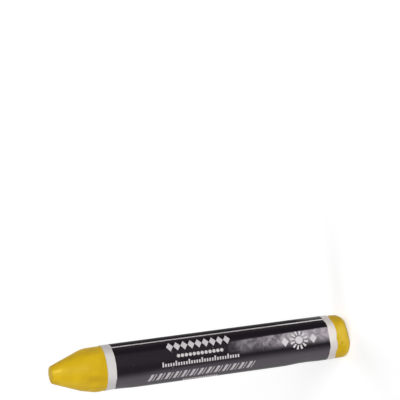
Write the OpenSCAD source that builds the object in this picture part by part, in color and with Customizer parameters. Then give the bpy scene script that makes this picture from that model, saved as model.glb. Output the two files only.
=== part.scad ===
// Marking chalk: a moulded stick with a paper label wrapped round it.
// The stick stands on its blunt end, with its axis on +Z and its point up.
// The label's lapped edge runs down the stick, to the right of its front (-Y).

/* [Stick] */
// Diameter of the moulded stick
stick_d = 17; // [12:0.5:24]
// Length from the blunt end to the flat on the point
stick_len = 120.5; // [100:0.5:160]
// Diameter of the flat on the point, before its rim is rounded
point_flat_d = 6.6; // [3:0.1:9]
// Half angle of the cone, measured from the stick's axis
cone_half_angle = 21; // [15:0.5:30]
// Radius of the rim round the point's flat
point_rim_r = 0.8; // [0.2:0.1:1.2]
// Radius of the soft shoulder between the cone and the barrel
shoulder_r = 13; // [2:0.5:16]
// Radius of the rim round the blunt end
end_rim_r = 2.6; // [0.5:0.1:4]

/* [Label] */
// Bare barrel between the blunt end's rounded rim and the label
rear_bare = 3.6; // [0:0.1:10]
// Bare barrel between the shoulder and the label
front_bare = 4.4; // [0:0.1:15]
// Thickness of the label's paper
paper_t = 0.12; // [0.06:0.01:0.3]
// Thickness of the glue film between the stick and the paper
glue_t = 0.04; // [0.02:0.01:0.1]
// Unprinted margin at the blunt end
rear_margin = 3; // [1:0.1:6]
// Unprinted margin at the point
front_margin = 3.5; // [1:0.1:6]

/* [Glued lap] */
// Turn of the lap's cut edge round the stick, from the front to the right
lap_turn = 59; // [0:1:180]
// Width of paper glued down over the label's first edge
lap_w = 5; // [2:0.5:10]
// Width of paper that climbs from the stick onto the first edge
climb_w = 0.9; // [0.4:0.1:2]
// Width of the unprinted strip along the lap's cut edge
bare_strip_w = 0.45; // [0.1:0.05:1]

/* [Hidden] */
$fn = 180;

stick_r = stick_d / 2;
point_r = point_flat_d / 2;
// Straight steps in each rounded edge
arc_steps = 12;
// Height at which the cone would meet the barrel in a sharp edge
sharp_shoulder_z = stick_len - (stick_r - point_r) / tan(cone_half_angle);
// The shoulder's curve starts below that edge, at the end of the straight barrel
barrel_end = sharp_shoulder_z - shoulder_r * tan(cone_half_angle / 2);
// How far the rim's curve reaches in over the point's flat
point_rim_reach = point_rim_r * tan((90 - cone_half_angle) / 2);

// Radii of the label's layers: the first turn and the lap over it
wrap_in_r = stick_r + glue_t;
wrap_out_r = wrap_in_r + paper_t;
lap_out_r = wrap_out_r + paper_t;

// The front of the stick is -Y, which is 270 degrees round from +X
front_angle = -90;
lap_start = front_angle + lap_turn;
bare_strip_angle = paper_turn(bare_strip_w);
lap_angle = paper_turn(lap_w);
climb_angle = paper_turn(climb_w);
climb_start = lap_start + lap_angle;

// The climbing paper follows circles about a centre set beside the stick's axis.
// They pass through the start and the end of the climb, one paper thickness apart.
climb_shift = paper_t / (2 * sin(climb_angle / 2));
climb_mid = climb_start + climb_angle / 2;
climb_centre = climb_shift * [cos(climb_mid - 90), sin(climb_mid - 90)];

label_start = end_rim_r + rear_bare;
label_end = barrel_end - front_bare;
print_start = label_start + rear_margin;
print_end = label_end - front_margin;

// Turn that a width of paper takes up round the stick
function paper_turn(width) = width / wrap_out_r * 180 / PI;

// Radius of the climbing circle that starts from the given radius
function climb_radius(r) =
    sqrt(pow(r + paper_t / 2, 2) + pow(climb_shift * cos(climb_angle / 2), 2));

// Points along an arc, from one angle to another
function arc(centre, radius, from_angle, to_angle) =
    [for (i = [0 : arc_steps])
        let (angle = from_angle + (to_angle - from_angle) * i / arc_steps)
        centre + radius * [cos(angle), sin(angle)]];

// Half section of the stick: radius across, height up
module stick_section() {
    end_rim = arc([stick_r - end_rim_r, end_rim_r], end_rim_r, -90, 0);
    shoulder = arc([stick_r - shoulder_r, barrel_end], shoulder_r, 0, cone_half_angle);
    point_rim = arc([point_r - point_rim_reach, stick_len - point_rim_r], point_rim_r,
                    cone_half_angle, 90);
    polygon(concat([[0, 0]], end_rim, shoulder, point_rim, [[0, stick_len]]));
}

// Slice of the round, from one angle through a turn, reaching past the paper
module slice(start, turn) {
    reach = 3 * lap_out_r;
    end = start + turn;
    polygon([[0, 0], reach * [cos(start), sin(start)], reach * [cos(end), sin(end)]]);
}

// Circle that the climbing paper follows, starting from the given radius.
// Past the climb's end it runs inside the round and changes nothing.
module climb_circle(r) {
    translate(climb_centre) circle(r = climb_radius(r));
}

// Everything inside the paper's outer face: the round, the climb and the lap
module outer_outline() {
    circle(r = wrap_out_r);
    intersection() {
        circle(r = lap_out_r);
        climb_circle(wrap_out_r);
        slice(lap_start, lap_angle + 2 * climb_angle);
    }
}

// Everything inside the paper's inner face, with the slit under the climb
module inner_outline() {
    circle(r = wrap_in_r);
    intersection() {
        climb_circle(wrap_in_r);
        slice(climb_start, 2 * climb_angle);
    }
}

// Section of the label, across the stick
module label_section() {
    difference() {
        outer_outline();
        inner_outline();
    }
}

// The lap's outer paper along its cut edge, which the print doesn't reach
module bare_strip_section() {
    difference() {
        intersection() {
            circle(r = lap_out_r);
            slice(lap_start, bare_strip_angle);
        }
        circle(r = wrap_out_r);
    }
}

// One band of the label between two heights, with its bare strip
module label_band(z_low, z_high, paper_colour) {
    translate([0, 0, z_low]) {
        color(paper_colour) linear_extrude(z_high - z_low)
            difference() {
                label_section();
                bare_strip_section();
            }
        color("gainsboro") linear_extrude(z_high - z_low)
            bare_strip_section();
    }
}

// Moulded marking chalk, poured in one piece
module chalk_stick() {
    color("goldenrod") rotate_extrude() stick_section();
}

// Printed paper, wrapped once round the stick and glued along its lap
module paper_label() {
    label_band(label_start, print_start, "gainsboro");
    label_band(print_start, print_end, [0.15, 0.14, 0.15]);
    label_band(print_end, label_end, "gainsboro");
}

chalk_stick();
paper_label();
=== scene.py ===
import math
import bpy
from mathutils import Matrix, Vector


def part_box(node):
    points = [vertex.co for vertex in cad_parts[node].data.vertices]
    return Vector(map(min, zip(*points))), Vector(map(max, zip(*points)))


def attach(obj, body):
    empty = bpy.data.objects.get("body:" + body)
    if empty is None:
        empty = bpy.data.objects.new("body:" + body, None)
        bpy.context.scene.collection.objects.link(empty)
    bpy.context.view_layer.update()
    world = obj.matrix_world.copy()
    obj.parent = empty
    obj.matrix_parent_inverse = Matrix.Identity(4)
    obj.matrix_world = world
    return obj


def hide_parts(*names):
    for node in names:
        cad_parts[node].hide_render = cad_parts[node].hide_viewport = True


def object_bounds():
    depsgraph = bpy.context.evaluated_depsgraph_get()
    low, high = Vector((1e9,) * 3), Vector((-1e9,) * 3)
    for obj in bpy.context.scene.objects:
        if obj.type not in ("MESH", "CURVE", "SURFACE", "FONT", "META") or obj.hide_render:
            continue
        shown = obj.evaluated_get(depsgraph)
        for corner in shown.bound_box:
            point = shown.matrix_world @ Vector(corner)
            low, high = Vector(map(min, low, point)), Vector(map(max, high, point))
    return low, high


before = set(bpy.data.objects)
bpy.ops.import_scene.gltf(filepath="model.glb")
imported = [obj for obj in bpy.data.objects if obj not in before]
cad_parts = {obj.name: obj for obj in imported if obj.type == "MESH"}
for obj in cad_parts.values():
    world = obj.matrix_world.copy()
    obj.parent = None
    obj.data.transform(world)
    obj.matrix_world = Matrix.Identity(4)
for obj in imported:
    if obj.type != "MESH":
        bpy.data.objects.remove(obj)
cad_low, cad_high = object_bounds()
bpy.ops.object.select_all(action="DESELECT")


# ---------------------------------------------------------------- camera
# The stick stands on its blunt end. The camera looks down on it from the front
# (-Y) through a long lens, and is rolled on its side, so that in the picture the
# stick lies with its point to the left.
camera_side = 0.05979
camera_distance = 0.75947
camera_height = 0.30321
camera_down = math.radians(18.221)
camera_roll = math.radians(96.389)
lens_length = 184.5

bpy.ops.object.camera_add(location=(camera_side, -camera_distance, camera_height))
camera = bpy.context.object
camera.name = "camera"
level_view = Matrix.Rotation(math.pi / 2 - camera_down, 3, "X")
camera.rotation_euler = (level_view @ Matrix.Rotation(-camera_roll, 3, "Z")).to_euler()
camera.data.lens = lens_length
camera.data.sensor_width = 36.0
camera.data.clip_start = 0.01
camera.data.clip_end = 50.0
bpy.context.scene.camera = camera


# ---------------------------------------------------------------- studio
# A plain white table top. Its paint is pale, and the camera and mirror rays get a
# little more, so that it shows as white and still takes the stick's shadow. Past
# the lamps the lift grows, so that the table runs into the white room.
table_size = 12.0
table_white = (0.70, 0.70, 0.70, 1.0)
near_lift = 0.50
far_lift = 1.0
lift_from = 0.5
lift_to = 2.0


def feed(socket, value):
    """Link a shader socket to another one, or set it to a plain value."""
    if isinstance(value, bpy.types.NodeSocket):
        socket.id_data.links.new(value, socket)
    else:
        socket.default_value = value


def maker(owner):
    """Clear a material or the room, and return a function that adds nodes to it."""
    owner.use_nodes = True
    tree = owner.node_tree
    tree.nodes.clear()

    def add(kind, settings=None, **inputs):
        made = tree.nodes.new(kind)
        for key, value in (settings or {}).items():
            setattr(made, key, value)
        for key, value in inputs.items():
            feed(made.inputs[key.replace("_", " ")], value)
        return made

    return add


def sums(add, operation, first, second=0.0, third=0.0):
    """One arithmetic step on shader values."""
    step = add("ShaderNodeMath", {"operation": operation})
    for place, value in enumerate((first, second, third)):
        feed(step.inputs[place], value)
    return step.outputs[0]


def seen_or_mirrored(add):
    """1 for camera, mirror and see-through rays, and 0 for those that bring light."""
    rays = add("ShaderNodeLightPath").outputs
    seen = sums(add, "MAXIMUM", rays["Is Camera Ray"], rays["Is Glossy Ray"])
    return sums(add, "MAXIMUM", seen, rays["Is Transmission Ray"])


bpy.ops.mesh.primitive_plane_add(size=table_size, location=(0, 0, 0))
table = bpy.context.object
table.name = "table_top"
table_paint = bpy.data.materials.new("table_paint")
paint = maker(table_paint)
table_place = paint("ShaderNodeTexCoord").outputs["Object"]
table_reach = paint("ShaderNodeVectorMath", {"operation": "LENGTH"}, Vector=table_place)
table_lift = paint(
    "ShaderNodeMapRange", Value=table_reach.outputs["Value"],
    From_Min=lift_from, From_Max=lift_to, To_Min=near_lift, To_Max=far_lift,
)
lift_strength = sums(paint, "MULTIPLY", seen_or_mirrored(paint), table_lift.outputs[0])
table_diffuse = paint("ShaderNodeBsdfDiffuse", Color=table_white)
table_glow = paint("ShaderNodeEmission", Strength=lift_strength)
table_skin = paint("ShaderNodeAddShader")
feed(table_skin.inputs[0], table_diffuse.outputs[0])
feed(table_skin.inputs[1], table_glow.outputs[0])
paint("ShaderNodeOutputMaterial", Surface=table_skin.outputs[0])
table.data.materials.append(table_paint)

# The white room round the table: a soft light from all sides, shown as plain
# white to the camera and in reflections.
room_light = 0.17
room_shown = 1.0
room_white = (1.0, 1.0, 1.0, 1.0)

world = bpy.data.worlds.new("white_room")
bpy.context.scene.world = world
room = maker(world)
room_strength = room(
    "ShaderNodeMapRange", Value=seen_or_mirrored(room), To_Min=room_light, To_Max=room_shown
)
room_back = room("ShaderNodeBackground", Color=room_white, Strength=room_strength.outputs[0])
room("ShaderNodeOutputWorld", Surface=room_back.outputs[0])

bpy.context.scene.view_settings.view_transform = "Standard"


def soft_box(name, turn, height, distance, size, power):
    """A square lamp on a stand, turned to the middle of the stick."""
    turn = math.radians(turn)
    height = math.radians(height)
    across = distance * math.cos(height)
    place = (
        across * math.sin(turn),
        -across * math.cos(turn),
        distance * math.sin(height) + cad_high.z / 2,
    )
    bpy.ops.object.light_add(type="AREA", location=place)
    lamp = bpy.context.object
    lamp.name = name
    lamp.rotation_euler = (math.pi / 2 - height, 0, turn)
    lamp.data.shape = "SQUARE"
    lamp.data.size = size
    lamp.data.energy = power
    lamp.visible_camera = False


# Three soft boxes stand round the stick. The turn is counted in degrees from the
# front (-Y) round to the right (+X), and the height in degrees over the table.
soft_box("key_box", turn=15, height=27, distance=1.5, size=0.9, power=16.0)
soft_box("side_box", turn=-90, height=25, distance=1.5, size=0.9, power=7.5)
soft_box("back_box", turn=160, height=40, distance=1.6, size=0.9, power=8.0)


# ---------------------------------------------------------------- chalk stick
# The marking chalk itself: pigmented wax and chalk, poured warm into a smooth
# mould and trimmed at its blunt end, so that the rim there came out uneven.
# It is one solid piece. Only its two ends show past the label.
stick_low, stick_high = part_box("chalk_stick")
label_low, label_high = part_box("paper_label")
stick_r = (stick_high.x - stick_low.x) / 2
stick_top = stick_high.z
sides = 160
ring_gap = 0.00045
blunt_rim_r = 0.0027
blunt_rim_unevenness = 0.00115
tight_side_turn = math.radians(-40)
rim_steps = 10
cone_half_angle = math.radians(21)
shoulder_r = 0.013
shoulder_steps = 12
point_r = 0.0033
point_rim_r = 0.0008
point_rim_steps = 6


def extrude_ring(now, height, radius, shift=0.0, tilt=0.0):
    """Extrude the selected ring up to a new height, radius, shift along X and tilt."""
    rise = height - now["height"]
    bpy.ops.mesh.extrude_region_move(
        TRANSFORM_OT_translate={"value": (shift - now["shift"], 0, rise)}
    )
    ratio = radius / now["radius"]
    middle = (shift, 0, height)
    bpy.ops.transform.rotate(
        value=-now["tilt"], orient_axis="Y", center_override=middle
    )
    bpy.ops.transform.resize(value=(ratio, ratio, 1), center_override=middle)
    bpy.ops.transform.rotate(value=tilt, orient_axis="Y", center_override=middle)
    now.update(height=height, radius=radius, shift=shift, tilt=tilt)


flat_r = stick_r - blunt_rim_r
bpy.ops.mesh.primitive_circle_add(
    vertices=sides, radius=flat_r, location=(-blunt_rim_unevenness, 0, 0)
)
chalk = bpy.context.object
chalk.name = "moulded_chalk"
bpy.ops.object.transform_apply(location=True, rotation=True, scale=True)
bpy.ops.object.mode_set(mode="EDIT")
bpy.ops.mesh.select_all(action="SELECT")
ring = {"height": 0.0, "radius": flat_r, "shift": -blunt_rim_unevenness, "tilt": 0.0}

# The rim round the blunt end, drawn wide on the right (+X) and tight on the left
for step in range(1, rim_steps + 1):
    turn = math.pi / 2 * step / rim_steps
    inward = 1 - math.sin(turn)
    upward = 1 - math.cos(turn)
    radius = stick_r - blunt_rim_r * inward
    extrude_ring(
        ring,
        blunt_rim_r * upward,
        radius,
        shift=-blunt_rim_unevenness * inward,
        tilt=math.atan(blunt_rim_unevenness * upward / radius),
    )

# The straight barrel, with close rings only where it shows
cone_start = stick_top - (stick_r - point_r) / math.tan(cone_half_angle)
barrel_end = cone_start - shoulder_r * math.tan(cone_half_angle / 2)
hidden_margin = 0.001
rear_from = ring["height"]
rear_tilt = ring["tilt"]
rear_to = label_low.z + hidden_margin
bare_rear_rings = round((rear_to - rear_from) / ring_gap)
for step in range(1, bare_rear_rings + 1):
    share = step / bare_rear_rings
    extrude_ring(
        ring,
        rear_from + (rear_to - rear_from) * share,
        stick_r,
        tilt=rear_tilt * (1 - share),
    )
hidden_end = label_high.z - hidden_margin
hidden_rings = 24
hidden_gap = (hidden_end - ring["height"]) / hidden_rings
for step in range(hidden_rings):
    extrude_ring(ring, ring["height"] + hidden_gap, stick_r)
bare_front_rings = round((barrel_end - hidden_end) / ring_gap)
front_gap = (barrel_end - hidden_end) / bare_front_rings
for step in range(bare_front_rings):
    extrude_ring(ring, ring["height"] + front_gap, stick_r)

# The soft shoulder, the cone and the small rim round the point's flat
for step in range(1, shoulder_steps + 1):
    turn = cone_half_angle * step / shoulder_steps
    extrude_ring(
        ring,
        barrel_end + shoulder_r * math.sin(turn),
        stick_r - shoulder_r * (1 - math.cos(turn)),
    )
rim_reach = point_rim_r * math.tan((math.pi / 2 - cone_half_angle) / 2)
rim_base_r = point_r - rim_reach + point_rim_r * math.cos(cone_half_angle)
rim_base = stick_top - point_rim_r + point_rim_r * math.sin(cone_half_angle)
cone_from = ring["height"]
cone_from_r = ring["radius"]
cone_rings = round((rim_base - cone_from) / ring_gap)
for step in range(1, cone_rings + 1):
    share = step / cone_rings
    extrude_ring(
        ring,
        cone_from + (rim_base - cone_from) * share,
        cone_from_r + (rim_base_r - cone_from_r) * share,
    )
for step in range(1, point_rim_steps + 1):
    turn = cone_half_angle + (math.pi / 2 - cone_half_angle) * step / point_rim_steps
    extrude_ring(
        ring,
        stick_top - point_rim_r + point_rim_r * math.sin(turn),
        point_r - rim_reach + point_rim_r * math.cos(turn),
    )

# Both flats are closed with rings that run in to the middle
flat_rings = 7
point_flat_r = ring["radius"]
for step in range(1, flat_rings):
    extrude_ring(ring, stick_top, point_flat_r * (1 - step / flat_rings))
bpy.ops.mesh.extrude_region_move()
bpy.ops.mesh.merge(type="CENTER")
bpy.ops.mesh.select_all(action="DESELECT")
bpy.ops.mesh.select_non_manifold()
ring = {"height": 0.0, "radius": flat_r, "shift": -blunt_rim_unevenness, "tilt": 0.0}
for step in range(1, 2 * flat_rings):
    extrude_ring(
        ring, 0.0, flat_r * (1 - step / (2 * flat_rings)), shift=-blunt_rim_unevenness
    )
bpy.ops.mesh.extrude_region_move()
bpy.ops.mesh.merge(type="CENTER")
bpy.ops.mesh.select_all(action="SELECT")
bpy.ops.mesh.remove_doubles(threshold=0.000001)
bpy.ops.mesh.normals_make_consistent(inside=False)
bpy.ops.mesh.faces_shade_smooth()

# The stick is turned so that the tight side of its blunt end comes to the front
bpy.ops.transform.rotate(
    value=tight_side_turn, orient_axis="Z", center_override=(0, 0, 0)
)
bpy.ops.object.mode_set(mode="OBJECT")


def press(piece, low, high, turn, half_turn, reach, out=0.0, up=0.0):
    """Move part of a piece's skin out and up, fading smoothly over the reach."""
    bpy.ops.object.mode_set(mode="EDIT")
    bpy.ops.mesh.select_all(action="DESELECT")
    bpy.ops.object.mode_set(mode="OBJECT")
    for vertex in piece.data.vertices:
        apart = abs(math.atan2(vertex.co.x, -vertex.co.y) - turn)
        far_out = math.hypot(vertex.co.x, vertex.co.y) > stick_r / 2
        vertex.select = apart < half_turn and far_out and low < vertex.co.z < high
    bpy.ops.object.mode_set(mode="EDIT")
    bpy.ops.transform.translate(
        value=(math.sin(turn) * out, -math.cos(turn) * out, up),
        use_proportional_edit=True,
        proportional_edit_falloff="SMOOTH",
        proportional_size=reach,
    )
    bpy.ops.object.mode_set(mode="OBJECT")


# On the left the barrel stands a little proud past both ends of the label, and the
# shoulder is a little worn down. The rim of the blunt end is worn on its front right.
left_side = math.radians(-82)
narrow = math.radians(1.7)
front_proud = 0.00030
rear_proud = 0.00017
shoulder_wear = 0.00028
rim_wear = 0.00042
rim_wear_turn = math.radians(15)
rim_wear_half = math.radians(16)
press(chalk, 0.1022, 0.1040, left_side, narrow, reach=0.0031, out=front_proud)
press(chalk, 0.1066, 0.1076, left_side, narrow, reach=0.0030, out=-shoulder_wear)
press(chalk, 0.0020, 0.0050, left_side, narrow, reach=0.0035, out=rear_proud)
press(chalk, -0.0001, 0.0006, rim_wear_turn, rim_wear_half, reach=0.0030, up=rim_wear)


def ripple(piece, name, size, height, group=""):
    """Ripple a piece's skin by a soft noise, all over or in one vertex group."""
    noise = bpy.data.textures.new(name, "CLOUDS")
    noise.noise_scale = size
    noise.noise_depth = 1
    bend = piece.modifiers.new(name, "DISPLACE")
    bend.texture = noise
    bend.texture_coords = "LOCAL"
    bend.vertex_group = group
    bend.strength = height
    bend.mid_level = 0.5
    bpy.ops.object.modifier_apply(modifier=name)


# The bare ends are very slightly lumpy from the mould. Under the label the barrel
# stays true, so that it never comes through the paper.
lump_size = 0.0045
lump_height = 0.00009
dimple_size = 0.0012
dimple_height = 0.00003
fade = 0.0015
bare_ends = "bare_ends"
bare_group = chalk.vertex_groups.new(name=bare_ends)
for vertex in chalk.data.vertices:
    outside = max(label_low.z - vertex.co.z, vertex.co.z - label_high.z)
    off_the_table = min(1.0, max(0.0, vertex.co.z / fade))
    weight = min(1.0, max(0.0, outside / fade)) * off_the_table
    bare_group.add([vertex.index], weight, "REPLACE")

# Applying a ripple builds the groups anew, so they are asked for by name
ripple(chalk, "mould_lumps", lump_size, lump_height, group=bare_ends)
ripple(chalk, "mould_dimples", dimple_size, dimple_height, group=bare_ends)


def blend_colours(add, share, first, second):
    """Mix two colours, by a share from 0 to 1."""
    mix = add("ShaderNodeMix", {"data_type": "RGBA"})
    for place, value in ((0, share), (6, first), (7, second)):
        feed(mix.inputs[place], value)
    return mix.outputs[2]


def ramp_between(add, value, low, high):
    """Rise smoothly from 0 to 1 as the value goes from low to high."""
    rise = add(
        "ShaderNodeMapRange", {"interpolation_type": "SMOOTHSTEP"},
        Value=value, From_Min=low, From_Max=high,
    )
    return rise.outputs[0]


# Waxy yellow chalk: softly clouded colour and fine grain, dull smudges on its shoulder,
# an amber tint near the point and a small dark spot near the blunt end. Painted shade
# darkens the right (+X) and left edges of both bare ends and the point's flat, and painted
# highlights lie near the point and on the middle of the blunt end. The chalk grows paler
# towards the rim of the blunt end. Each blot is placed by its height up the stick, in
# millimetres, and its turn in degrees from the front (-Y).
mm = 1000.0
chalk_yellow = (0.70, 0.455, 0.009, 1.0)
chalk_deep = (0.65, 0.410, 0.008, 1.0)
chalk_light = (0.78, 0.52, 0.020, 1.0)
chalk_highlight = (0.97, 0.68, 0.060, 1.0)
chalk_dull = (0.50, 0.295, 0.012, 1.0)
chalk_amber = (0.74, 0.41, 0.010, 1.0)
chalk_flat_shade = (0.34, 0.225, 0.020, 1.0)
chalk_pale = (0.86, 0.62, 0.085, 1.0)

chalk_wax = bpy.data.materials.new("yellow_chalk_wax")
wax = maker(chalk_wax)
wax_place = wax("ShaderNodeTexCoord").outputs["Object"]
wax_axes = wax("ShaderNodeSeparateXYZ", Vector=wax_place).outputs
wax_up = sums(wax, "MULTIPLY", wax_axes["Z"], mm)
wax_front = sums(wax, "MULTIPLY", wax_axes["Y"], -1.0)
wax_turn = sums(
    wax, "MULTIPLY", sums(wax, "ARCTAN2", wax_axes["X"], wax_front), math.degrees(1)
)
clouds = wax("ShaderNodeTexNoise", Vector=wax_place, Scale=190.0, Detail=2.0).outputs[0]
patches = wax("ShaderNodeTexNoise", Vector=wax_place, Scale=95.0, Detail=3.0).outputs[0]
grain = wax("ShaderNodeTexNoise", Vector=wax_place, Scale=2600.0, Detail=3.0).outputs[0]
spots = wax("ShaderNodeTexNoise", Vector=wax_place, Scale=420.0, Detail=4.0).outputs[0]


def far_off(add, along, across):
    """Distance from the point where both shader values are 0."""
    along_squared = sums(add, "POWER", along, 2.0)
    across_squared = sums(add, "POWER", across, 2.0)
    return sums(add, "SQRT", sums(add, "ADD", along_squared, across_squared))


def blot_on(colour, blot_colour, up, turn, half_up, half_turn, strength):
    """Blend a second colour softly into the chalk, in an oval with a ragged edge."""
    along = sums(wax, "DIVIDE", sums(wax, "SUBTRACT", wax_up, up), half_up)
    across = sums(wax, "DIVIDE", sums(wax, "SUBTRACT", wax_turn, turn), half_turn)
    apart = far_off(wax, along, across)
    ragged = sums(wax, "MULTIPLY_ADD", sums(wax, "SUBTRACT", spots, 0.5), 1.2, apart)
    share = sums(wax, "MULTIPLY", ramp_between(wax, ragged, 1.15, 0.25), strength)
    return blend_colours(wax, share, colour, blot_colour)


clouded = blend_colours(wax, ramp_between(wax, clouds, 0.40, 0.68), chalk_yellow, chalk_deep)
chalk_colour = blend_colours(wax, ramp_between(wax, patches, 0.52, 0.75), clouded, chalk_light)
for blot_colour, up, turn, half_up, half_turn, strength in (
    (chalk_dull, 104.0, -23.0, 5.0, 14.0, 0.55),
    (chalk_dull, 108.4, -24.0, 3.4, 36.0, 0.36),
    # painted shade on the right (+X) of the shoulder
    (chalk_dull, 104.5, 58.0, 5.5, 18.0, 0.45),
    (chalk_amber, 117.5, 46.0, 2.2, 12.0, 0.45),
    # painted shade on the right of the cone and the point, and on the left of the point
    (chalk_dull, 114.0, 72.0, 9.0, 22.0, 0.40),
    (chalk_dull, 119.6, 72.0, 1.8, 20.0, 0.50),
    (chalk_dull, 119.4, -60.0, 1.8, 26.0, 0.35),
    # a painted highlight near the point
    (chalk_light, 118.6, 20.0, 3.6, 28.0, 0.60),
    (chalk_highlight, 118.5, 21.0, 2.2, 11.0, 0.85),
    # a painted highlight on the middle of the blunt end
    (chalk_pale, 3.4, 8.0, 3.2, 34.0, 0.55),
    # painted shade on the right and left of the blunt end
    (chalk_dull, 4.4, 62.0, 3.4, 32.0, 0.60),
    (chalk_dull, 4.2, -68.0, 2.8, 22.0, 0.40),
    (chalk_dull, 3.9, -15.0, 0.9, 5.0, 0.45),
):
    chalk_colour = blot_on(chalk_colour, blot_colour, up, turn, half_up, half_turn, strength)

# The point's flat is darkened by painted shade.
flat_shade_strength = 0.12
rim_paling = 0.65
grain_strength = 0.12
on_the_flat = ramp_between(wax, wax_up, 120.1, 120.4)
flat_shade_share = sums(wax, "MULTIPLY", on_the_flat, flat_shade_strength)
chalk_colour = blend_colours(wax, flat_shade_share, chalk_colour, chalk_flat_shade)
# The chalk grows paler towards the rim of the blunt end.
on_the_rim = ramp_between(wax, wax_up, 2.6, 0.6)
rim_pale_share = sums(wax, "MULTIPLY", on_the_rim, rim_paling)
chalk_colour = blend_colours(wax, rim_pale_share, chalk_colour, chalk_pale)
grain_share = sums(wax, "MULTIPLY", ramp_between(wax, grain, 0.45, 0.75), grain_strength)
chalk_colour = blend_colours(wax, grain_share, chalk_colour, chalk_light)

# The wax has a satin shine, broken by its grain and lost on the point's flat
wax_smooth = 0.40
grain_roughness = 0.16
wax_shine = 0.12
flat_shine_lost = 0.08
wax_roughness = sums(wax, "MULTIPLY_ADD", grain, grain_roughness, wax_smooth)
wax_gloss = sums(wax, "MULTIPLY_ADD", on_the_flat, -flat_shine_lost, wax_shine)
wax_grain = wax("ShaderNodeBump", Height=grain, Strength=0.25, Distance=0.00003)
wax_waves = wax(
    "ShaderNodeBump", Height=spots, Strength=0.25, Distance=0.00008,
    Normal=wax_grain.outputs[0],
)
wax_skin = wax(
    "ShaderNodeBsdfPrincipled", Base_Color=chalk_colour, Roughness=wax_roughness,
    Specular_IOR_Level=wax_gloss, Normal=wax_waves.outputs[0],
)
wax("ShaderNodeOutputMaterial", Surface=wax_skin.outputs[0])
chalk.data.materials.append(chalk_wax)
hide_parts("chalk_stick")
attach(chalk, "root")


# ---------------------------------------------------------------- paper label
# One sheet of thin coated paper, wrapped once round the barrel. It starts at its
# cut edge, lies over its own first edge for 5 mm, where it is glued, then climbs
# down on to the chalk and runs all the way round under the cut edge.
glue_t = 0.00004
layer_t = 0.00012
layer_gap = 0.000005
wrap_out_r = stick_r + glue_t + layer_t
lap_out_r = wrap_out_r + layer_t
lap_turn = math.radians(59)
lap_arc = math.radians(33.1)
climb_arc = math.radians(6)
rows_up = 120
lap_steps = 16
climb_steps = 4
round_steps = 168

bpy.ops.mesh.primitive_plane_add(size=0.001, location=(0, 0, 0))
label = bpy.context.object
label.name = "wrapped_label"
bpy.ops.object.mode_set(mode="EDIT")
bpy.ops.mesh.select_all(action="SELECT")
bpy.ops.mesh.merge(type="CENTER")
cut_edge = (
    lap_out_r * math.sin(lap_turn),
    -lap_out_r * math.cos(lap_turn),
    label_low.z,
)
bpy.ops.transform.translate(value=cut_edge)
bpy.ops.mesh.extrude_region_move(
    TRANSFORM_OT_translate={"value": (0, 0, label_high.z - label_low.z)}
)
bpy.ops.mesh.select_all(action="SELECT")
bpy.ops.mesh.subdivide(number_cuts=rows_up)


def wrap_on(steps, arc):
    """Carry the selected edge of the sheet on round the stick, to the back."""
    bpy.ops.mesh.spin(steps=steps, angle=-arc, center=(0, 0, 0), axis=(0, 0, 1))


wrap_on(lap_steps, lap_arc)
down_ratio = (wrap_out_r / lap_out_r) ** (1 / climb_steps)
for step in range(climb_steps):
    wrap_on(1, climb_arc / climb_steps)
    bpy.ops.transform.resize(
        value=(down_ratio, down_ratio, 1), center_override=(0, 0, 0)
    )
wrap_on(round_steps, 2 * math.pi - climb_arc)
bpy.ops.mesh.select_all(action="SELECT")
bpy.ops.mesh.faces_shade_smooth()
bpy.ops.mesh.select_all(action="DESELECT")
bpy.ops.object.mode_set(mode="OBJECT")

# The end of the sheet near the blunt end is cut a little out of square: it is
# higher on the right and lower on the left
end_row = (0.0055, 0.0070)
end_skew = 0.0004
skew_reach = 0.009
skew_half = math.radians(20)
press(label, *end_row, math.pi / 2, skew_half, reach=skew_reach, up=end_skew)
press(label, *end_row, -math.pi / 2, skew_half, reach=skew_reach, up=-end_skew)

# It lies a little loose along the left of the stick
slack = 0.00034
front_slack = 0.00012
rear_slack = 0.00014
press(label, 0.0275, 0.088, left_side, narrow, reach=0.0085, out=slack)
press(label, 0.0995, 0.1010, left_side, narrow, reach=0.0031, out=front_slack)
press(label, 0.0050, 0.0120, left_side, narrow, reach=0.0045, out=rear_slack)

# Its cut edge near the blunt end is not quite straight either
for turn, half_turn, reach, up in (
    (-22, 5, 0.0022, -0.0003),
    (-45, 4, 0.0022, 0.0003),
    (26, 12, 0.0025, -0.00027),
):
    press(label, *end_row, math.radians(turn), math.radians(half_turn), reach, up=up)
bpy.ops.object.transform_apply(location=True, rotation=True, scale=True)
if label.data.polygons[0].normal.dot(label.data.polygons[0].center) < 0:
    label.data.flip_normals()

# The paper is not quite flat on the chalk: it has low waves along the stick
wave_size = 0.007
wave_height = 0.00003
ripple(label, "paper_waves", wave_size, wave_height)
thick = label.modifiers.new("paper_thickness", "SOLIDIFY")
thick.thickness = layer_t - layer_gap
thick.offset = -1.0
thick.use_even_offset = True
bpy.ops.object.modifier_apply(modifier=thick.name)
bpy.ops.object.shade_smooth_by_angle(angle=math.radians(40))

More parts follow.
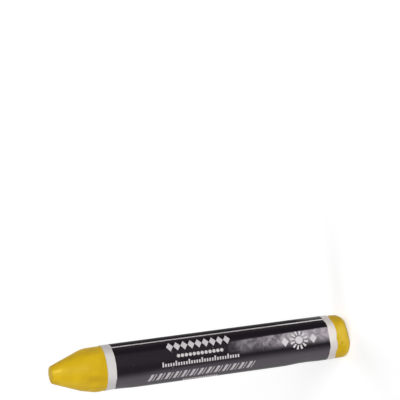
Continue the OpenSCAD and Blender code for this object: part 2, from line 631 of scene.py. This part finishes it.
# The print: black all over, but for bare margins at both ends and a bare strip
# along the cut edge. Heights up the stick and widths round it, counted from the
# front (-Y) towards +X, are in millimetres from here on.
rear_margin = 3.0
front_margin = 3.5
bare_strip_w = 0.45
print_low = label_low.z * mm + rear_margin
print_high = label_high.z * mm - front_margin
strip_from = lap_turn * wrap_out_r * mm
rear_paper_painted_light = (0.795, 0.745, 0.715, 1.0)
front_paper_painted_shade = (0.70, 0.675, 0.665, 1.0)
rear_margin_highlight_white = (0.92, 0.855, 0.835, 1.0)
lap_side_shade_grey = (0.26, 0.20, 0.22, 1.0)
strip_rear_white = (0.88, 0.84, 0.84, 1.0)
strip_front_white = (0.62, 0.57, 0.58, 1.0)
ink_black = (0.0101, 0.0071, 0.0110, 1.0)
emblem_white = (0.72, 0.68, 0.70, 1.0)
row_white = (0.62, 0.585, 0.60, 1.0)
row_grey = (0.53, 0.495, 0.515, 1.0)

printed_paper = bpy.data.materials.new("printed_paper")
ink = maker(printed_paper)
ink_place = ink("ShaderNodeTexCoord").outputs["Object"]
axes = ink("ShaderNodeSeparateXYZ", Vector=ink_place).outputs
turn_round = sums(ink, "ARCTAN2", axes["X"], sums(ink, "MULTIPLY", axes["Y"], -1.0))
round_mm = sums(ink, "MULTIPLY", turn_round, wrap_out_r * mm)
up_mm = sums(ink, "MULTIPLY", axes["Z"], mm)


def inside(value, low, high):
    """1 where the value lies between low and high, and 0 elsewhere."""
    above = sums(ink, "GREATER_THAN", value, low)
    below = sums(ink, "LESS_THAN", value, high)
    return sums(ink, "MULTIPLY", above, below)


def inside_soft(value, low, full_low, full_high, high):
    """As inside, but rising and falling smoothly over its two edges."""
    rise = ramp_between(ink, value, low, full_low)
    fall = ramp_between(ink, value, high, full_high)
    return sums(ink, "MULTIPLY", rise, fall)


def both(first, second):
    """1 where two masks are both 1."""
    return sums(ink, "MULTIPLY", first, second)


def either(first, second):
    """1 where at least one of two masks is 1."""
    return sums(ink, "MAXIMUM", first, second)


def row_cells(high, count, pitch, middle, slant=0.0):
    """Cells of a printed row: place in the cell, height over it, number and mask."""
    height = sums(ink, "SUBTRACT", round_mm, middle)
    leaned = sums(ink, "MULTIPLY_ADD", height, slant, up_mm)
    along = sums(ink, "DIVIDE", sums(ink, "SUBTRACT", high, leaned), pitch)
    number = sums(ink, "FLOOR", along)
    place = sums(ink, "MULTIPLY", sums(ink, "SUBTRACT", sums(ink, "FRACT", along), 0.5), pitch)
    return place, height, number, inside(number, -0.5, count - 0.5)


def lozenge(place, height, half_long, half_high):
    """1 inside a lozenge of two half sizes, about the point where both are 0."""
    along = sums(ink, "DIVIDE", sums(ink, "ABSOLUTE", place), half_long)
    across = sums(ink, "DIVIDE", sums(ink, "ABSOLUTE", height), half_high)
    return sums(ink, "LESS_THAN", sums(ink, "ADD", along, across), 1.0)


# The print carries plain marks, from the lap down: lozenges, dots, a scale of long
# and short ticks, slanted bars, and fine dashes
lozenge_half_long = 1.40
lozenge_half_high = 1.95
place, height, number, mask = row_cells(high=75.8, count=9, pitch=2.9, middle=5.4)
marks = both(lozenge(place, height, lozenge_half_long, lozenge_half_high), mask)

dot_r = 0.68
place, height, number, mask = row_cells(high=72.4, count=12, pitch=1.6, middle=1.4)
dot = sums(ink, "LESS_THAN", far_off(ink, place, height), dot_r)
marks = either(marks, both(dot, mask))

tick_half = 0.31
tick_foot = -0.85
short_top = 0.40
long_rise = 0.65
long_every = 5.0
place, height, number, mask = row_cells(high=78.6, count=30, pitch=1.055, middle=-1.45)
fives = sums(ink, "FRACT", sums(ink, "DIVIDE", number, long_every))
is_long = sums(ink, "LESS_THAN", fives, 0.1)
tick_top = sums(ink, "MULTIPLY_ADD", is_long, long_rise, short_top)
tick = both(
    sums(ink, "LESS_THAN", sums(ink, "ABSOLUTE", place), tick_half),
    both(
        sums(ink, "GREATER_THAN", height, tick_foot), sums(ink, "LESS_THAN", height, tick_top)
    ),
)
marks = either(marks, both(tick, mask))

place, height, number, mask = row_cells(
    high=84.0, count=13, pitch=3.35, middle=-6.45, slant=0.45
)
bar_half = 1.6
bar = either(inside(place, -1.1, 0.05), inside(place, 0.75, 1.15))
slanted = both(both(bar, mask), inside(height, -bar_half, bar_half))

place, height, number, mask = row_cells(high=69.4, count=16, pitch=0.9, middle=-10.9)
dash_half = 1.1
dashes = both(
    both(inside(place, -0.33, 0.28), mask), inside(height, -dash_half, dash_half)
)
faint_marks = either(slanted, dashes)

# Beside them stands an emblem: a small sun with rays, between two lozenges
emblem_up = 21.9
emblem_round = 1.1
sun_r = 1.5
ray_from = 2.0
ray_to = 3.7
rays = 12
ray_half = 0.235
lozenge_apart = 5.9
side_half_long = 1.45
side_half_high = 1.90
from_sun_up = sums(ink, "SUBTRACT", up_mm, emblem_up)
from_sun_round = sums(ink, "SUBTRACT", round_mm, emblem_round)
from_sun = far_off(ink, from_sun_up, from_sun_round)
ray_turn = sums(ink, "ARCTAN2", from_sun_up, from_sun_round)
ray_count = sums(ink, "MULTIPLY", ray_turn, rays / (2 * math.pi))
ray_place = sums(ink, "ABSOLUTE", sums(ink, "SUBTRACT", sums(ink, "FRACT", ray_count), 0.5))
ray = both(sums(ink, "LESS_THAN", ray_place, ray_half), inside(from_sun, ray_from, ray_to))
from_pair_up = sums(ink, "SUBTRACT", sums(ink, "ABSOLUTE", from_sun_up), lozenge_apart)
side_lozenge = lozenge(from_pair_up, from_sun_round, side_half_long, side_half_high)
emblem = either(either(ray, sums(ink, "LESS_THAN", from_sun, sun_r)), side_lozenge)

# Ink and paper. The edges of the ink are a hair uneven and waver a little round the
# stick. The one near the blunt end leans as the cut edge does, but less. The paper
# has flecks.
fibres = ink("ShaderNodeTexNoise", Vector=ink_place, Scale=3500.0, Detail=3.0).outputs[0]
ink_bleed = ink("ShaderNodeTexNoise", Vector=ink_place, Scale=300.0, Detail=3.0).outputs[0]
bleed_reach = 0.35
left_dip = 0.25
right_dip = 0.40
front_rise = 0.22
print_skew = 0.00027
bled_up = sums(ink, "MULTIPLY_ADD", sums(ink, "SUBTRACT", ink_bleed, 0.5), bleed_reach, up_mm)
skewed_up = sums(ink, "MULTIPLY_ADD", axes["X"], -print_skew / wrap_out_r * mm, bled_up)
at_left_dip = inside_soft(round_mm, -5.0, -3.4, -2.6, -0.6)
at_right_dip = inside_soft(round_mm, 3.2, 5.2, 6.3, 7.9)
at_front_rise = inside_soft(round_mm, -9.4, -7.4, -6.0, -4.2)
rear_up = sums(ink, "MULTIPLY_ADD", at_left_dip, left_dip, skewed_up)
rear_up = sums(ink, "MULTIPLY_ADD", at_right_dip, right_dip, rear_up)
front_up = sums(ink, "MULTIPLY_ADD", at_front_rise, -front_rise, bled_up)
in_band = both(
    sums(ink, "GREATER_THAN", rear_up, print_low),
    sums(ink, "LESS_THAN", front_up, print_high),
)
on_strip = inside(round_mm, strip_from - 0.01, strip_from + bare_strip_w)
bare_strip = both(in_band, on_strip)
inked = both(in_band, sums(ink, "SUBTRACT", 1.0, on_strip))
# The paper is painted lighter near the blunt end and darker towards the point: painted light
# and shade.
paper_white = blend_colours(
    ink, ramp_between(ink, up_mm, 18.0, 34.0), rear_paper_painted_light, front_paper_painted_shade
)
# A painted highlight whitens the paper at the blunt end, on its front.
rear_margin_highlight = ramp_between(ink, up_mm, print_low + 5.0, print_low)
paper_white = blend_colours(
    ink, both(inside_soft(round_mm, -1.8, 0.0, 3.0, 6.0), rear_margin_highlight), paper_white, rear_margin_highlight_white
)
# Painted shade darkens the paper on the right (+X), round the lap.
lap_side_shade_strength = 0.22
lap_side_shade = sums(ink, "MULTIPLY", inside_soft(round_mm, 5.2, 7.4, 9.6, 12.0), lap_side_shade_strength)
paper_white = blend_colours(ink, lap_side_shade, paper_white, lap_side_shade_grey)
fleck_grey = (0.60, 0.56, 0.52, 1.0)
fleck_strength = 0.10
paper_fleck = blend_colours(
    ink, sums(ink, "MULTIPLY", fibres, fleck_strength), paper_white, fleck_grey
)
# The bare strip is whiter towards the blunt end.
strip_white = blend_colours(
    ink, ramp_between(ink, up_mm, 24.0, 32.0), strip_rear_white, strip_front_white
)
bare_paper = blend_colours(ink, bare_strip, paper_fleck, strip_white)
printed = blend_colours(ink, inked, bare_paper, ink_black)

# Painted reflections lie on the gloss: a band of painted reflection low on the left of
# the front, a crinkled patch of painted reflection that starts under the marks and grows
# paler towards the blunt end, and a faint painted sheen beside it. A few specks lie all over.
low_reflection_grey = (0.372, 0.330, 0.372, 1.0)
low_reflection_strength = 0.245
low_reflection_drift = 0.6
low_reflection_drift_share = ramp_between(ink, up_mm, 76.0, 90.0)
low_reflection_round = sums(ink, "MULTIPLY_ADD", low_reflection_drift_share, low_reflection_drift, round_mm)
low_reflection_band = inside_soft(low_reflection_round, -11.4, -7.8, -5.7, -1.7)
low_reflection_share = sums(ink, "MULTIPLY", low_reflection_band, low_reflection_strength)

reflection_patch_grey = (0.56, 0.505, 0.55, 1.0)
reflection_patch_strength = 0.29
reflection_patch_growth = 0.40
reflection_patch_middle = 24.0
reflection_patch_lean = 0.0165
crease_strength = 0.36
fold_strength = 0.80
# The patch is a painted reflection of a soft box, broken up by crinkle noise.
from_reflection_patch_middle = sums(ink, "SUBTRACT", up_mm, reflection_patch_middle)
leaned_round = sums(ink, "MULTIPLY_ADD", from_reflection_patch_middle, reflection_patch_lean, round_mm)
reflection_patch_round = both(
    ramp_between(ink, round_mm, -1.9, 1.9), ramp_between(ink, leaned_round, 4.95, 4.2)
)
reflection_patch_start = sums(ink, "MULTIPLY", ramp_between(ink, up_mm, 53.0, 44.0), reflection_patch_strength)
reflection_patch_up = sums(
    ink, "MULTIPLY_ADD", ramp_between(ink, up_mm, 46.0, 14.0), reflection_patch_growth, reflection_patch_start
)
creases = ink(
    "ShaderNodeTexNoise", Vector=ink_place, Scale=800.0, Detail=4.0, Distortion=1.4
).outputs[0]
folds = ink(
    "ShaderNodeTexNoise", Vector=ink_place, Scale=340.0, Detail=2.0, Distortion=0.8
).outputs[0]
crease_depth = sums(ink, "MULTIPLY_ADD", ramp_between(ink, up_mm, 12.0, 24.0), 0.5, 0.5)
crease_share = sums(ink, "SUBTRACT", ramp_between(ink, creases, 0.34, 0.66), 0.5)
fold_share = sums(ink, "SUBTRACT", ramp_between(ink, folds, 0.36, 0.64), 0.5)
uneven = sums(ink, "MULTIPLY", crease_share, crease_strength)
uneven = sums(ink, "MULTIPLY_ADD", fold_share, fold_strength, uneven)
crinkle = sums(ink, "MULTIPLY_ADD", uneven, crease_depth, 1.0)
reflection_and_speck_share = both(both(reflection_patch_round, reflection_patch_up), crinkle)

sheen_strength = 0.012
speck_r = 0.055
speck_strength = 0.30
sheen_band = inside_soft(round_mm, -1.0, 1.0, 4.0, 5.4)
sheen_share = sums(ink, "MULTIPLY", sheen_band, sheen_strength)
speck_cells = ink("ShaderNodeTexVoronoi", Vector=ink_place, Scale=260.0)
speck = both(
    sums(ink, "LESS_THAN", speck_cells.outputs["Distance"], speck_r),
    sums(ink, "GREATER_THAN", creases, 0.52),
)
speck_share = sums(ink, "MULTIPLY", speck, speck_strength)
# Painted reflections and sheen, together with the specks
reflection_and_speck_share = both(either(either(reflection_and_speck_share, sheen_share), speck_share), inked)
reflected_and_specked = blend_colours(ink, low_reflection_share, printed, low_reflection_grey)
reflected_and_specked = blend_colours(ink, reflection_and_speck_share, reflected_and_specked, reflection_patch_grey)
marked = blend_colours(ink, both(faint_marks, inked), reflected_and_specked, row_grey)
marked = blend_colours(ink, both(marks, inked), marked, row_white)
label_colour = blend_colours(ink, both(emblem, inked), marked, emblem_white)

# The coating shines, but less where the painted reflections and specks lie, and less
# before and past the lap, where hands have dulled it
paper_roughness = 0.22
fibre_roughness = 0.10
reflection_and_speck_roughness = 0.35
paper_gloss = 0.09
gloss_lost_before = 0.055
gloss_lost_past = 0.08
before_the_lap = inside_soft(round_mm, 4.4, 5.4, 7.0, 8.4)
past_the_lap = both(
    inside_soft(round_mm, 9.2, 9.8, 14.0, 17.0), ramp_between(ink, up_mm, 15.0, 21.0)
)
label_roughness = sums(ink, "MULTIPLY_ADD", fibres, fibre_roughness, paper_roughness)
label_roughness = sums(
    ink, "MULTIPLY_ADD", either(low_reflection_share, reflection_and_speck_share), reflection_and_speck_roughness, label_roughness
)
label_gloss = sums(ink, "MULTIPLY_ADD", past_the_lap, -gloss_lost_past, paper_gloss)
label_gloss = sums(ink, "MULTIPLY_ADD", before_the_lap, -gloss_lost_before, label_gloss)
label_bump = ink("ShaderNodeBump", Height=fibres, Strength=0.15, Distance=0.00002)
label_skin = ink(
    "ShaderNodeBsdfPrincipled", Base_Color=label_colour, Roughness=label_roughness,
    Specular_IOR_Level=label_gloss, Normal=label_bump.outputs[0],
)
ink("ShaderNodeOutputMaterial", Surface=label_skin.outputs[0])
label.data.materials.append(printed_paper)
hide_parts("paper_label")
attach(label, "root")
